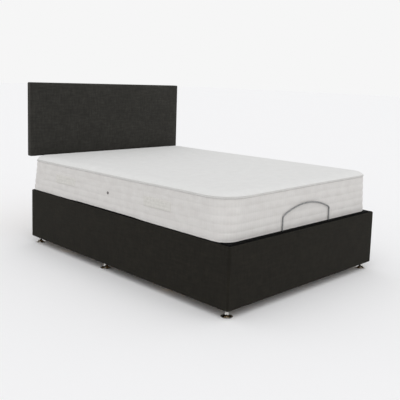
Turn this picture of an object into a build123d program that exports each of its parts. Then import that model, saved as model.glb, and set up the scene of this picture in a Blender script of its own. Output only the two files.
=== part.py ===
from build123d import *
from math import atan2, cos, degrees, radians, sin
import os

# Adjustable divan bed: an upholstered surround on chrome glides, a steel lifting
# frame with four deck sections, two linear actuators, a mattress and a headboard.
# Millimetres. +X is to the right seen from the foot, +Y towards the head, +Z up.
# The origin is on the floor under the centre of the whole bed.

# ---- surround -------------------------------------------------------------
BASE_W = 1370.0
BASE_L = 1940.0
BASE_TOP = 381.0
GLIDE_H = 45.0
COVER_T = 3.0
PANEL_T = 18.0
CORNER_R = 12.0
BLOCK_W = 45.0
BLOCK_TOP = 300.0
STUD_R = 5.0
STUD_TOP = 80.0

# ---- headboard and the way it is carried ------------------------------------
SPACER_T = 50.0
STRUT_T = 22.0
STRUT_W = 70.0
STRUT_X = 300.0
BOLT_HEAD = 8.0
OVERHANG = SPACER_T + STRUT_T + BOLT_HEAD
BOARD_W = 1370.0
BOARD_BOTTOM = 616.0
BOARD_TOP = 1136.0
BOARD_T = 15.0
PAD_FRONT_GAP = 2.0
BOLT_Z = (215.0, 300.0)
BOLT_R = 4.0

# ---- stations along the bed -------------------------------------------------
FOOT_Y = -(BASE_L + OVERHANG) / 2
HEAD_Y = FOOT_Y + BASE_L
WALL = COVER_T + PANEL_T
DECK_END_GAP = 6.0
DECK_FOOT = FOOT_Y + WALL + DECK_END_GAP
DECK_HEAD = HEAD_Y - WALL - DECK_END_GAP
AXLE_INSET = 18.0
CALF_L = 530.0
THIGH_L = 330.0
SEAT_L = 320.0
AXLE_Y = DECK_FOOT + AXLE_INSET
KNEE_Y = AXLE_Y + CALF_L
THIGH_Y = KNEE_Y + THIGH_L
BACK_Y = THIGH_Y + SEAT_L
MID_GLIDE_Y = HEAD_Y - 840.0

# ---- deck -------------------------------------------------------------------
DECK_TOP = BASE_TOP + 0.5
DECK_T = 12.0
DECK_W = 1320.0
TUBE = 25.0
TUBE_WALL = 2.0
HINGE_Z = DECK_TOP - DECK_T - TUBE / 2
FOLD_GAP = 15.0
KNEE_GAP = 5.0
SIDE_X = (545.0, 570.0)
CALF_SIDE_X = (515.0, 540.0)
CALF_WHEEL_R = 12.0

# ---- steel frame ------------------------------------------------------------
RAIL_X = (580.0, 615.0)
RAIL_Z = (268.0, 340.0)
MEMBER_W = 40.0
MEMBER_Z = (228.0, 268.0)
PIN_R = 6.0
RUN = 0.05
GAP = 0.3
PLATE_X = (574.0, 580.0)
PLATE_BORE_X = (570.0, 590.0)
HINGE_TOP_R = 12.0
HINGE_FOOT_W = 36.0
HINGE_FOOT_Z = (306.0, HINGE_Z - 8)
BEARING_W = 60.0
BEARING_FOOT_Z = 282.0
BUSH_R = 14.0
JOURNAL_R = 10.0

# ---- lifting gear -----------------------------------------------------------
STRIP_T = 4.0
ROLLER_R = 25.0
TUBE_SET = 100.0
LIFT_R = 17.0
LIFT_Z = HINGE_Z - TUBE / 2 - STRIP_T - GAP - ROLLER_R
BACK_ARM = 400.0
LEG_ARM = 300.0
ARM_X = (533.0, 541.0)
ROLLER_X = (547.0, 568.0)
LIFT_HALF = 572.0
LIFT_BORE_HALF = 560.0
LIFT_WALL = 3.0
HUB_R = 26.0
LEVER = 100.0
LEVER_T = 5.0
LEVER_W = 24.0
LEVER_SET = 11.5
LEVER_PIN_R = 5.0
BACK_SWING = 40.0
LEG_SWING = 22.5
ARM_H = 20.0
BACK_ELBOW = (60.0, -24.0)
LEG_ELBOW = (50.0, -45.0)
BACK_TUBE_Y = BACK_Y - TUBE_SET
LEG_TUBE_Y = THIGH_Y + TUBE_SET

# ---- actuators --------------------------------------------------------------
DRIVE_X = 150.0
DRIVE_Z = LIFT_Z - LEVER * 0.97
EYE_TO_TUBE = 36.0
DRIVE_TUBE_L = 290.0
GEARBOX_L = 60.0
TANG_L = 15.0
TANG_T = 12.0
TANG_H = 22.0
REAR_PIN_R = 5.0
MEMBER_SET = 35.0
DRIVE_TUBE_R = 18.0
COLLAR_R = 21.0
COLLAR_L = 22.0
GEARBOX_W = 56.0
GEARBOX_H = 62.0
MOTOR_R = 28.0
MOTOR_L = 122.0
ROD_R = 10.0
ROD_FREE = 0.3
EYE_SIZE = (16.0, 30.0, 36.0)
EYE_SLOT = (20.0, 11.6, 18.0)
EAR_T = 5.0
EAR_SET = 9.5

# ---- electrics --------------------------------------------------------------
BOX_X = (-420.0, -260.0)
BOX_W = 100.0
BOX_H = 40.0
BOX_WALL = 3.0
INLET_BODY_R = 7.0
INLET_R = 2.8

# ---- mattress ---------------------------------------------------------------
MATTRESS_W = 1352.0
MATTRESS_T = 250.0
MATTRESS_FOOT = FOOT_Y + 42.0
MATTRESS_HEAD = HEAD_Y - 8.0
MATTRESS_R = 80.0

# ---- retainer bar -----------------------------------------------------------
WIRE_R = 4.0
BAR_HALF = 222.0
BAR_PEAK = 518.0
BAR_CORNER_R = 18.0
BAR_SLOPE = 25.4
BAR_Y = MATTRESS_FOOT - WIRE_R - 0.5
BAR_FOOT_Z = 334.0

os.makedirs("parts", exist_ok=True)


def save(node, *solids):
    """Writes one sub-part, as one solid or as a group of separate solids."""
    flat = [s for shape in solids for s in shape.solids()]
    shape = flat[0] if len(flat) == 1 else Compound(children=flat)
    export_step(shape, f"parts/{node}.step")


def block(x, y, z):
    """A box from its lowest and highest value along each axis."""
    size = [hi - lo for lo, hi in (x, y, z)]
    centre = [(hi + lo) / 2 for lo, hi in (x, y, z)]
    return Pos(*centre) * Box(*size)


def round_x(x, y, z, r):
    """A round bar along X from x[0] to x[1]."""
    return Pos((x[0] + x[1]) / 2, y, z) * Rot(0, 90, 0) * Cylinder(r, x[1] - x[0])


def round_y(x, y, z, r):
    """A round bar along Y from y[0] to y[1]."""
    return Pos(x, (y[0] + y[1]) / 2, z) * Rot(90, 0, 0) * Cylinder(r, y[1] - y[0])


def round_z(x, y, z, r):
    """A round bar along Z from z[0] to z[1]."""
    return Pos(x, y, (z[0] + z[1]) / 2) * Cylinder(r, z[1] - z[0])


def both(shape):
    """The shape on the right of the bed and its mirror image on the left."""
    return [shape, mirror(shape, about=Plane.YZ)]


def span(middle, width):
    """The lowest and highest value of something centred on middle."""
    return (middle - width / 2, middle + width / 2)


def box_tube_y(x, y, z):
    """A rectangular steel tube along Y, open at its ends."""
    core = block((x[0] + TUBE_WALL, x[1] - TUBE_WALL), (y[0] - 1, y[1] + 1),
                 (z[0] + TUBE_WALL, z[1] - TUBE_WALL))
    return block(x, y, z) - core


def box_tube_x(x, y, z):
    """A rectangular steel tube along X, open at its ends."""
    core = block((x[0] - 1, x[1] + 1), (y[0] + TUBE_WALL, y[1] - TUBE_WALL),
                 (z[0] + TUBE_WALL, z[1] - TUBE_WALL))
    return block(x, y, z) - core


def bolt_holes(r):
    """The four holes that the headboard's bolts pass through."""
    y = (HEAD_Y - WALL - 1, HEAD_Y + OVERHANG)
    return [round_y(side * STRUT_X, y, z, r) for side in (-1, 1) for z in BOLT_Z]


def less(shape, cutters):
    """The shape with each cutter taken away."""
    for cutter in cutters:
        shape = shape - cutter
    return shape


# ---- surround ---------------------------------------------------------------
def surround():
    inner_x = BASE_W / 2 - WALL
    half = BASE_W / 2 - COVER_T
    panel_z = (GLIDE_H + COVER_T, BASE_TOP - COVER_T)
    side = block((inner_x, half), (FOOT_Y + COVER_T, HEAD_Y - COVER_T), panel_z)
    outer = side.edges().filter_by(Axis.Z).group_by(Axis.X)[-1]
    right, left = both(fillet(outer, CORNER_R - COVER_T))
    save("side_panel_right", right)
    save("side_panel_left", left)
    foot = block((-inner_x, inner_x), (FOOT_Y + COVER_T, FOOT_Y + WALL), panel_z)
    save("foot_panel", foot)
    head = block((-inner_x, inner_x), (HEAD_Y - WALL, HEAD_Y - COVER_T), panel_z)
    save("head_panel", less(head, bolt_holes(BOLT_R + 0.2)))


def cover():
    """Fabric wrapped round the panels and folded over their top and bottom edges."""
    z = (GLIDE_H, BASE_TOP)
    skin = block((-BASE_W / 2, BASE_W / 2), (FOOT_Y, HEAD_Y), z)
    skin = fillet(skin.edges().filter_by(Axis.Z), CORNER_R)
    panels = block((COVER_T - BASE_W / 2, BASE_W / 2 - COVER_T),
                   (FOOT_Y + COVER_T, HEAD_Y - COVER_T), (z[0] + COVER_T, z[1] - COVER_T))
    panels = fillet(panels.edges().filter_by(Axis.Z), CORNER_R - COVER_T)
    opening = block((WALL - BASE_W / 2, BASE_W / 2 - WALL),
                    (FOOT_Y + WALL, HEAD_Y - WALL), (z[0] - 1, z[1] + 1))
    save("upholstery_cover", less(skin - panels - opening, bolt_holes(BOLT_R + 0.2)))


def corner_centres():
    """The four corner blocks' centres."""
    x = BASE_W / 2 - WALL - BLOCK_W / 2
    ends = (FOOT_Y + WALL + BLOCK_W / 2, HEAD_Y - WALL - BLOCK_W / 2)
    return [(side * x, y) for side in (-1, 1) for y in ends]


def glide_centres():
    """A glide under each corner block and one each side under the middle bearer."""
    x = BASE_W / 2 - WALL - BLOCK_W / 2
    return corner_centres() + [(side * x, MID_GLIDE_Y) for side in (-1, 1)]


def timber():
    floor_z = GLIDE_H + COVER_T
    stud_holes = [round_z(x, y, (0, STUD_TOP + 2), STUD_R + 0.1) for x, y in glide_centres()]
    posts = [block(span(x, BLOCK_W), span(y, BLOCK_W), (floor_z, BLOCK_TOP))
             for x, y in corner_centres()]
    save("corner_blocks", *[less(post, stud_holes) for post in posts])
    inner_x = BASE_W / 2 - WALL
    ends = FOOT_Y + WALL + BLOCK_W, HEAD_Y - WALL - BLOCK_W
    ledger = block((inner_x - 30, inner_x), ends, (255.0, BLOCK_TOP))
    save("ledger_rails", *both(ledger))
    bearers = [block((-inner_x, inner_x), span(y, BLOCK_W), (floor_z, floor_z + 70))
               for y in (MID_GLIDE_Y - 560, MID_GLIDE_Y, MID_GLIDE_Y + 480)]
    save("cross_bearers", *[less(bearer, stud_holes) for bearer in bearers])


def glide():
    """One turned foot: a wide disc that flares into a slim stem under a collar."""
    with BuildSketch(Plane.XZ) as profile:
        with BuildLine():
            rim = Polyline((0, 0), (32.5, 0), (32.5, 3.5))
            flare = TangentArc(rim @ 1, (9.5, 21.0), tangent=(-1, 0.18))
            Polyline(flare @ 1, (9.5, 37.0), (16.0, 41.0), (16.0, GLIDE_H), (0, GLIDE_H), (0, 0))
        make_face()
    return revolve(profile.sketch, Axis.Z)


def glides():
    foot = glide()
    stud = round_z(0, 0, (GLIDE_H, STUD_TOP), STUD_R)
    save("glide_feet", *[Pos(x, y, 0) * foot for x, y in glide_centres()])
    save("glide_studs", *[Pos(x, y, 0) * stud for x, y in glide_centres()])


# ---- steel frame ------------------------------------------------------------
def member_stations():
    """The cross members: one near each end and one behind each actuator."""
    back_rear = drive_stations(-1)["member"]
    leg_rear = drive_stations(1)["member"]
    return (FOOT_Y + 70, back_rear, leg_rear, HEAD_Y - 70)


def steel_frame():
    rail_y = (FOOT_Y + WALL + 5, HEAD_Y - WALL - 5)
    rail = box_tube_y(RAIL_X, rail_y, RAIL_Z)
    tab_x = (RAIL_X[1], BASE_W / 2 - WALL - 4)
    tabs = [block(tab_x, span(y, MEMBER_W), (BLOCK_TOP, BLOCK_TOP + 5))
            for y in (FOOT_Y + 200, MID_GLIDE_Y, HEAD_Y - 200)]
    right, left = both(rail.fuse(*tabs))
    save("frame_rail_right", right)
    save("frame_rail_left", left)
    members = [box_tube_x((-RAIL_X[1], RAIL_X[1]), span(y, MEMBER_W), MEMBER_Z)
               for y in member_stations()]
    save("frame_cross_members", *members)


def seat():
    y = (THIGH_Y + FOLD_GAP, BACK_Y - FOLD_GAP)
    seat_z = DECK_TOP - DECK_T
    sides = both(box_tube_y(RAIL_X, y, (RAIL_Z[1], seat_z)))
    bars = [box_tube_x((-RAIL_X[0], RAIL_X[0]), span(at, TUBE), (seat_z - TUBE, seat_z))
            for at in (y[0] + 28, y[1] - 28)]
    save("seat_frame", *sides, *bars)
    save("seat_deck_panel", deck_panel(y))


def hinges():
    """Upright plates on the rails, and the bolts that the back and thigh turn on."""
    plates = []
    bolts = []
    for y in (BACK_Y, THIGH_Y):
        neck = block(PLATE_X, span(y, 2 * HINGE_TOP_R), (HINGE_FOOT_Z[0], HINGE_Z))
        plate = block(PLATE_X, span(y, HINGE_FOOT_W), HINGE_FOOT_Z) + neck
        plate = plate + round_x(PLATE_X, y, HINGE_Z, HINGE_TOP_R)
        plates += both(plate - round_x(PLATE_BORE_X, y, HINGE_Z, PIN_R))
        bolts += both(hinge_bolt(SIDE_X[0] - 1, PLATE_X[1], y))
    save("hinge_brackets", *plates)
    save("hinge_bolts", *bolts)


def hinge_bolt(inside, outside, y):
    """A shouldered bolt along X with a flat head outside and a nut inside."""
    shank = round_x((inside, outside), y, HINGE_Z, PIN_R)
    head = round_x((outside, outside + 5), y, HINGE_Z, 10)
    nut = round_x((inside - 5, inside), y, HINGE_Z, 9.5)
    return shank + head + nut


def tube_bearings():
    """Plates under the rails that carry the two lift tubes in plastic bushes."""
    plates = []
    bushes = []
    for y in (BACK_TUBE_Y, LEG_TUBE_Y):
        plate = block(PLATE_X, span(y, BEARING_W), (BEARING_FOOT_Z, RAIL_Z[1]))
        plates += both(plate - round_x(PLATE_BORE_X, y, LIFT_Z, BUSH_R))
        ring = round_x(PLATE_X, y, LIFT_Z, BUSH_R) - round_x(PLATE_BORE_X, y, LIFT_Z, JOURNAL_R + RUN)
        bushes += both(ring)
    save("bearing_plates", *plates)
    save("bearing_bushes", *bushes)


def calf_tracks():
    """Angle strips on the rails that the calf section's small wheels roll on."""
    top = HINGE_Z - CALF_WHEEL_R - GAP
    y = (DECK_FOOT + 2, AXLE_Y + 130)
    shelf = block((543.0, RAIL_X[0]), y, (top - STRIP_T, top))
    flange = block((RAIL_X[0] - STRIP_T, RAIL_X[0]), y, (306.0, top))
    save("calf_wheel_tracks", *both(shelf + flange))


# ---- deck sections ----------------------------------------------------------
PANEL_BACK_Y = (BACK_Y + FOLD_GAP, DECK_HEAD)
PANEL_THIGH_Y = (KNEE_Y + KNEE_GAP, THIGH_Y - FOLD_GAP)
PANEL_CALF_Y = (DECK_FOOT, KNEE_Y - KNEE_GAP)


def deck_panel(y):
    """A plywood panel with two rows of ventilation holes."""
    z = (DECK_TOP - DECK_T, DECK_TOP)
    panel = block((-DECK_W / 2, DECK_W / 2), y, z)
    middle = (y[0] + y[1]) / 2
    holes = [round_z(x, middle + shift, (z[0] - 1, z[1] + 1), 15)
             for x in (-400, -200, 0, 200, 400) for shift in (-75, 75)]
    return less(panel, holes)


def side_tube(x, hinge_y, far_y):
    """A frame's side tube, with a solid round knuckle where it turns on its bolt."""
    towards = 1 if far_y > hinge_y else -1
    y = sorted((hinge_y, far_y))
    z = span(HINGE_Z, TUBE)
    tube = block(x, y, z) + round_x(x, hinge_y, HINGE_Z, TUBE / 2)
    core_y = sorted((hinge_y + towards * 16, far_y + towards))
    core = block((x[0] + TUBE_WALL, x[1] - TUBE_WALL), core_y,
                 (z[0] + TUBE_WALL, z[1] - TUBE_WALL))
    return tube - core - round_x((x[0] - 1, x[1] + 1), hinge_y, HINGE_Z, PIN_R + RUN)


def bars(half, stations):
    """A section frame's cross tubes between its side tubes."""
    return [box_tube_x((-half, half), span(y, TUBE), span(HINGE_Z, TUBE)) for y in stations]


def back_section():
    side = side_tube(SIDE_X, BACK_Y, DECK_HEAD - 5)
    save("back_frame", *both(side), *bars(SIDE_X[0], (BACK_Y + 50, BACK_Y + 365, DECK_HEAD - 20)))
    save("back_deck_panel", deck_panel(PANEL_BACK_Y))
    y = BACK_TUBE_Y + BACK_ARM
    top = HINGE_Z - TUBE / 2
    save("back_wear_strips", *both(block(SIDE_X, (y - 60, y + 60), (top - STRIP_T, top))))


def thigh_section():
    side = side_tube(SIDE_X, THIGH_Y, KNEE_Y)
    knee = round_x(SIDE_X, KNEE_Y, HINGE_Z, TUBE / 2)
    solid_end = block(SIDE_X, (KNEE_Y, KNEE_Y + 18), span(HINGE_Z, TUBE))
    hole = round_x((SIDE_X[0] - 1, SIDE_X[1] + 1), KNEE_Y, HINGE_Z, PIN_R)
    save("thigh_frame", *both(side + knee + solid_end - hole),
         *bars(SIDE_X[0], (THIGH_Y - 50, KNEE_Y + 50)))
    save("thigh_deck_panel", deck_panel(PANEL_THIGH_Y))
    y = LEG_TUBE_Y - LEG_ARM
    top = HINGE_Z - TUBE / 2
    save("thigh_wear_strips", *both(block(SIDE_X, (y - 55, y + 55), (top - STRIP_T, top))))
    save("knee_bolts", *both(hinge_bolt(CALF_SIDE_X[0] - 1, SIDE_X[1], KNEE_Y)))


def calf_section():
    side = side_tube(CALF_SIDE_X, KNEE_Y, AXLE_Y - 14)
    boss = block(CALF_SIDE_X, span(AXLE_Y, 28), span(HINGE_Z, TUBE))
    axle = round_x((CALF_SIDE_X[1], 569.0), AXLE_Y, HINGE_Z, PIN_R - 1)
    clip = round_x((566.5, 569.0), AXLE_Y, HINGE_Z, PIN_R + 2)
    frame = both(side + boss + axle + clip)
    save("calf_frame", *frame, *bars(CALF_SIDE_X[0], (KNEE_Y - 40, KNEE_Y - 280, AXLE_Y + 22)))
    panel = less(deck_panel(PANEL_CALF_Y), bar_holes(WIRE_R + 0.3))
    save("calf_deck_panel", panel)
    wheel = round_x((543.0, 566.0), AXLE_Y, HINGE_Z, CALF_WHEEL_R)
    bore = round_x((540.0, 570.0), AXLE_Y, HINGE_Z, PIN_R - 1 + RUN)
    save("calf_wheels", *both(wheel - bore))


# ---- retainer bar -----------------------------------------------------------
def bar_holes(r):
    """Holes round the bar's two upright legs."""
    return [round_z(side * BAR_HALF, BAR_Y, (BAR_FOOT_Z - 4, DECK_TOP + 4), r) for side in (-1, 1)]


def retainer_bar():
    """A round steel bar: two straight legs, two close corners and a shallow arch."""
    slope = radians(BAR_SLOPE)
    arch_r = (BAR_HALF - BAR_CORNER_R * (1 - sin(slope))) / sin(slope)
    rise = BAR_CORNER_R * cos(slope) + arch_r * (1 - cos(slope))
    shoulder = BAR_PEAK - rise
    face = Plane(origin=(0, BAR_Y, 0), x_dir=(1, 0, 0), z_dir=(0, -1, 0))
    with BuildLine(face) as route:
        leg = Line((-BAR_HALF, BAR_FOOT_Z), (-BAR_HALF, shoulder))
        near = JernArc(leg @ 1, leg % 1, BAR_CORNER_R, BAR_SLOPE - 90)
        arch = JernArc(near @ 1, near % 1, arch_r, -2 * BAR_SLOPE)
        far = JernArc(arch @ 1, arch % 1, BAR_CORNER_R, BAR_SLOPE - 90)
        Line(far @ 1, (BAR_HALF, BAR_FOOT_Z))
    ring = Plane(origin=(-BAR_HALF, BAR_Y, BAR_FOOT_Z)) * Circle(WIRE_R)
    save("retainer_bar", sweep(ring, path=route.wire()))
    clip_y = (BAR_Y - WIRE_R - 3, AXLE_Y + 22 - TUBE / 2)
    clips = [block(span(side * BAR_HALF, 30), clip_y, (HINGE_Z - 11, HINGE_Z + 11))
             for side in (-1, 1)]
    save("retainer_clips", *[less(clip, bar_holes(WIRE_R)) for clip in clips])


# ---- lift tubes, arms and rollers -------------------------------------------
def drive_stations(towards):
    """Where each piece of an actuator lies. It pushes away from its motor end:
    towards is -1 where the motor end is nearer the foot and 1 where it is nearer the head."""
    tube_y = BACK_TUBE_Y if towards < 0 else LEG_TUBE_Y
    swing = BACK_SWING if towards < 0 else LEG_SWING
    eye = tube_y + towards * LEVER * sin(radians(swing / 2))
    front = eye + towards * EYE_TO_TUBE
    gearbox = front + towards * DRIVE_TUBE_L
    tang = gearbox + towards * GEARBOX_L
    rear_pin = tang + towards * TANG_L
    return {"eye": eye, "front": front, "gearbox": gearbox, "tang": tang,
            "pin": rear_pin, "member": rear_pin + towards * MEMBER_SET}


def elbow_at_rest(tube_y, towards, swing, elbow):
    """Where an arm's elbow lies at rest. elbow is its place at full lift, measured from
    the section's hinge: along the bed towards the arm's end, and up."""
    along = TUBE_SET + elbow[0]
    up = HINGE_Z + elbow[1] - LIFT_Z
    turn = radians(swing)
    return (tube_y + towards * (along * cos(turn) + up * sin(turn)),
            LIFT_Z + up * cos(turn) - along * sin(turn))


def flat_link(x, start, end):
    """A flat bar between two (y, z) points, with round ends."""
    run = end[0] - start[0], end[1] - start[1]
    length = (run[0] ** 2 + run[1] ** 2) ** 0.5
    middle = Pos((x[0] + x[1]) / 2, (start[0] + end[0]) / 2, (start[1] + end[1]) / 2)
    tilt = degrees(atan2(run[1], run[0]))
    web = middle * Rot(tilt, 0, 0) * Box(x[1] - x[0], length, ARM_H)
    return web + round_x(x, *start, ARM_H / 2) + round_x(x, *end, ARM_H / 2)


def lift_gear(name, tube_y, arm, towards, swing, x, elbow):
    """One lift tube with its lever, its two cranked arms, and the rollers on their ends."""
    tube = round_x((-LIFT_HALF, LIFT_HALF), tube_y, LIFT_Z, LIFT_R)
    tube = tube - round_x((-LIFT_BORE_HALF, LIFT_BORE_HALF), tube_y, LIFT_Z, LIFT_R - LIFT_WALL)
    for side in (-1, 1):
        journal = sorted((side * LIFT_BORE_HALF, side * (PLATE_X[1] - 0.5)))
        tube = tube + round_x(journal, tube_y, LIFT_Z, JOURNAL_R)
    lean = radians(swing / 2)
    tip = (tube_y - towards * LEVER * sin(lean), LIFT_Z - LEVER * cos(lean))
    angle = -towards * swing / 2
    for shift in (-LEVER_SET, LEVER_SET):
        plate = block(span(0, LEVER_T), span(0, LEVER_W), (-LEVER, -LIFT_R + 2))
        plate = plate + round_x(span(0, LEVER_T), 0, -LEVER, LEVER_W / 2)
        tube = tube + Pos(x + shift, tube_y, LIFT_Z) * Rot(angle, 0, 0) * plate
    tube = tube + round_x(span(x, 2 * LEVER_SET + LEVER_T), tip[0], tip[1], LEVER_PIN_R)
    save(f"{name}_lift_tube", tube)
    end = tube_y + towards * arm
    bend = elbow_at_rest(tube_y, towards, swing, elbow)
    bar = flat_link(ARM_X, (tube_y, LIFT_Z), bend) + flat_link(ARM_X, bend, (end, LIFT_Z))
    bar = bar + round_x(ARM_X, tube_y, LIFT_Z, HUB_R)
    bar = bar - round_x((ARM_X[0] - 3, ARM_X[1] + 4), tube_y, LIFT_Z, LIFT_R)
    stub_end = ROLLER_X[1] + 2.5
    stub = round_x((ARM_X[1], stub_end), end, LIFT_Z, PIN_R)
    stub = stub + round_x((stub_end - 2, stub_end), end, LIFT_Z, 9)
    save(f"{name}_lift_arms", *both(bar + stub))
    roller = round_x(ROLLER_X, end, LIFT_Z, ROLLER_R)
    roller = fillet(roller.edges(), 2)
    roller = roller - round_x((ROLLER_X[0] - 7, ROLLER_X[1] + 7), end, LIFT_Z, PIN_R + RUN)
    save(f"{name}_lift_rollers", *both(roller))


def actuator(name, towards, x):
    """One linear actuator: gearbox and guide tube, motor, rod and rod eye."""
    at = drive_stations(towards)
    tube = round_y(x, sorted((at["front"], at["gearbox"])), DRIVE_Z, DRIVE_TUBE_R)
    collar = round_y(x, sorted((at["front"], at["front"] + towards * COLLAR_L)), DRIVE_Z, COLLAR_R)
    gearbox = block(span(x, GEARBOX_W), sorted((at["gearbox"], at["tang"])), span(DRIVE_Z, GEARBOX_H))
    gearbox = fillet(gearbox.edges().filter_by(Axis.Y), 10)
    tang = block(span(x, TANG_T), sorted((at["tang"], at["pin"])), span(DRIVE_Z, TANG_H))
    tang = tang + round_x(span(x, TANG_T), at["pin"], DRIVE_Z, TANG_H / 2)
    body = tube + collar + gearbox + tang
    body = body - round_x(span(x, TANG_T + 8), at["pin"], DRIVE_Z, REAR_PIN_R + RUN)
    bore = round_y(x, sorted((at["front"] - towards, at["front"] + towards * 190)), DRIVE_Z,
                   ROD_R + ROD_FREE)
    save(f"{name}_actuator_tube", body - bore)
    away = 1 if x > 0 else -1
    motor_y = (at["gearbox"] + at["tang"]) / 2
    can_x = sorted((x + away * GEARBOX_W / 2, x + away * (GEARBOX_W / 2 + MOTOR_L)))
    can = round_x(can_x, motor_y, DRIVE_Z, MOTOR_R)
    can = fillet(can.edges().group_by(Axis.X)[-1 if away > 0 else 0], 6)
    save(f"{name}_actuator_motor", can)
    rod_y = sorted((at["eye"] + towards * EYE_SIZE[1] / 2, at["front"] + towards * 130))
    save(f"{name}_actuator_rod", round_y(x, rod_y, DRIVE_Z, ROD_R))
    eye = block(span(x, EYE_SIZE[0]), span(at["eye"], EYE_SIZE[1]), span(DRIVE_Z, EYE_SIZE[2]))
    eye = fillet(eye.edges().filter_by(Axis.X), 6)
    slot = block(span(x, EYE_SLOT[0]), span(at["eye"], EYE_SLOT[1]), span(DRIVE_Z, EYE_SLOT[2]))
    save(f"{name}_rod_eye", eye - slot)


def lifting():
    lift_gear("back", BACK_TUBE_Y, BACK_ARM, 1, BACK_SWING, DRIVE_X, BACK_ELBOW)
    lift_gear("leg", LEG_TUBE_Y, LEG_ARM, -1, LEG_SWING, -DRIVE_X, LEG_ELBOW)
    actuator("back", -1, DRIVE_X)
    actuator("leg", 1, -DRIVE_X)


def actuator_brackets():
    """Pairs of ears under the cross members, with the pins of the actuators' rear ends."""
    pieces = []
    for towards, x in ((-1, DRIVE_X), (1, -DRIVE_X)):
        at = drive_stations(towards)
        far = at["member"] + towards * MEMBER_W / 2
        ears_y = sorted((far, at["pin"] - towards * 12))
        ears = [block(span(x + shift, EAR_T), ears_y, (DRIVE_Z - 14, MEMBER_Z[0]))
                for shift in (-EAR_SET, EAR_SET)]
        top = block(span(x, 2 * EAR_SET + EAR_T), sorted((far, at["member"] - towards * MEMBER_W / 2)),
                    (MEMBER_Z[0] - EAR_T, MEMBER_Z[0]))
        pin = round_x(span(x, 28), at["pin"], DRIVE_Z, REAR_PIN_R)
        pieces.append(ears[0].fuse(ears[1], top, pin))
    save("actuator_brackets", *pieces)


# ---- electrics --------------------------------------------------------------
def electrics():
    member = member_stations()[1]
    wall = BOX_WALL
    x, y = BOX_X, span(member, BOX_W)
    z = (MEMBER_Z[0] - BOX_H, MEMBER_Z[0])
    shell = fillet(block(x, y, (z[0] + wall, z[1])).edges().filter_by(Axis.Z), 6)
    hollow = block((x[0] + wall, x[1] - wall), (y[0] + wall, y[1] - wall), (z[0], z[1] - wall))
    save("control_box", shell - hollow)
    lid = fillet(block(x, y, (z[0], z[0] + wall)).edges().filter_by(Axis.Z), 6)
    inlet_x = x[0] + 40
    save("control_box_lid", lid - round_z(inlet_x, member, (z[0] - 1, z[0] + 4), INLET_BODY_R + RUN))
    body = round_z(inlet_x, member, (z[0] - 6, z[0] + 18), INLET_BODY_R)
    flange = round_z(inlet_x, member, (z[0] - 3, z[0] - 0.05), 10)
    save("power_inlet", body + flange - round_z(inlet_x, member, (z[0] - 7, z[0] + 6), INLET_R))


# ---- mattress ---------------------------------------------------------------
def mattress_part(y, rounded=None):
    """One stretch of the mattress; rounded is 0 or -1 where an end has round corners."""
    part = block((-MATTRESS_W / 2, MATTRESS_W / 2), y, (DECK_TOP, DECK_TOP + MATTRESS_T))
    if rounded is None:
        return part
    return fillet(part.edges().filter_by(Axis.Z).group_by(Axis.Y)[rounded], MATTRESS_R)


def mattress():
    save("mattress_back", mattress_part((BACK_Y + 0.4, MATTRESS_HEAD), rounded=-1))
    save("mattress_seat", mattress_part((THIGH_Y, BACK_Y)))
    save("mattress_thigh", mattress_part((KNEE_Y + 0.4, THIGH_Y - 0.4)))
    save("mattress_calf", mattress_part((MATTRESS_FOOT, KNEE_Y), rounded=0))


# ---- headboard --------------------------------------------------------------
def headboard():
    back_y = HEAD_Y + SPACER_T
    edge = 12.0
    core_z = (BOARD_BOTTOM + edge, BOARD_TOP - edge)
    core = block((edge - BOARD_W / 2, BOARD_W / 2 - edge), (back_y - BOARD_T, back_y), core_z)
    save("headboard_board", core)
    pad = block((-BOARD_W / 2, BOARD_W / 2), (HEAD_Y + PAD_FRONT_GAP, back_y), (BOARD_BOTTOM, BOARD_TOP))
    pad = fillet(pad.edges().filter_by(Axis.Y), 10)
    save("headboard_pad", pad - core)
    struts = [block(span(side * STRUT_X, STRUT_W), (back_y, back_y + STRUT_T), (150.0, 1010.0))
              for side in (-1, 1)]
    save("headboard_struts", *[less(strut, bolt_holes(BOLT_R + 0.2)) for strut in struts])
    spacers = [block(span(side * STRUT_X, STRUT_W), (HEAD_Y, back_y), (180.0, 335.0))
               for side in (-1, 1)]
    save("strut_spacers", *[less(spacer, bolt_holes(BOLT_R + 0.2)) for spacer in spacers])
    bolts = []
    for side in (-1, 1):
        for z in BOLT_Z:
            shank = round_y(side * STRUT_X, (HEAD_Y - WALL - 12, back_y + STRUT_T), z, BOLT_R)
            head = round_y(side * STRUT_X, (back_y + STRUT_T, HEAD_Y + OVERHANG), z, 9)
            nut = round_y(side * STRUT_X, (HEAD_Y - WALL - 8, HEAD_Y - WALL), z, 8)
            bolts.append(shank + head + nut)
    save("headboard_bolts", *bolts)


surround()
cover()
timber()
glides()
steel_frame()
seat()
hinges()
tube_bearings()
calf_tracks()
back_section()
thigh_section()
calf_section()
retainer_bar()
lifting()
actuator_brackets()
electrics()
mattress()
headboard()
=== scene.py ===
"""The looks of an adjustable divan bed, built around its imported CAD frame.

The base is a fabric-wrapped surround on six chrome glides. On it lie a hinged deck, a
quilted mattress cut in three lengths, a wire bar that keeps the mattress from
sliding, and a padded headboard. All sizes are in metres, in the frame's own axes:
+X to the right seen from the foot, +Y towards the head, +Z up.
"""

import logging
import math
from collections.abc import Callable, Sequence
from dataclasses import dataclass, field
from enum import Enum

import bmesh
import bpy
import numpy as np
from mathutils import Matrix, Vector, noise


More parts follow.
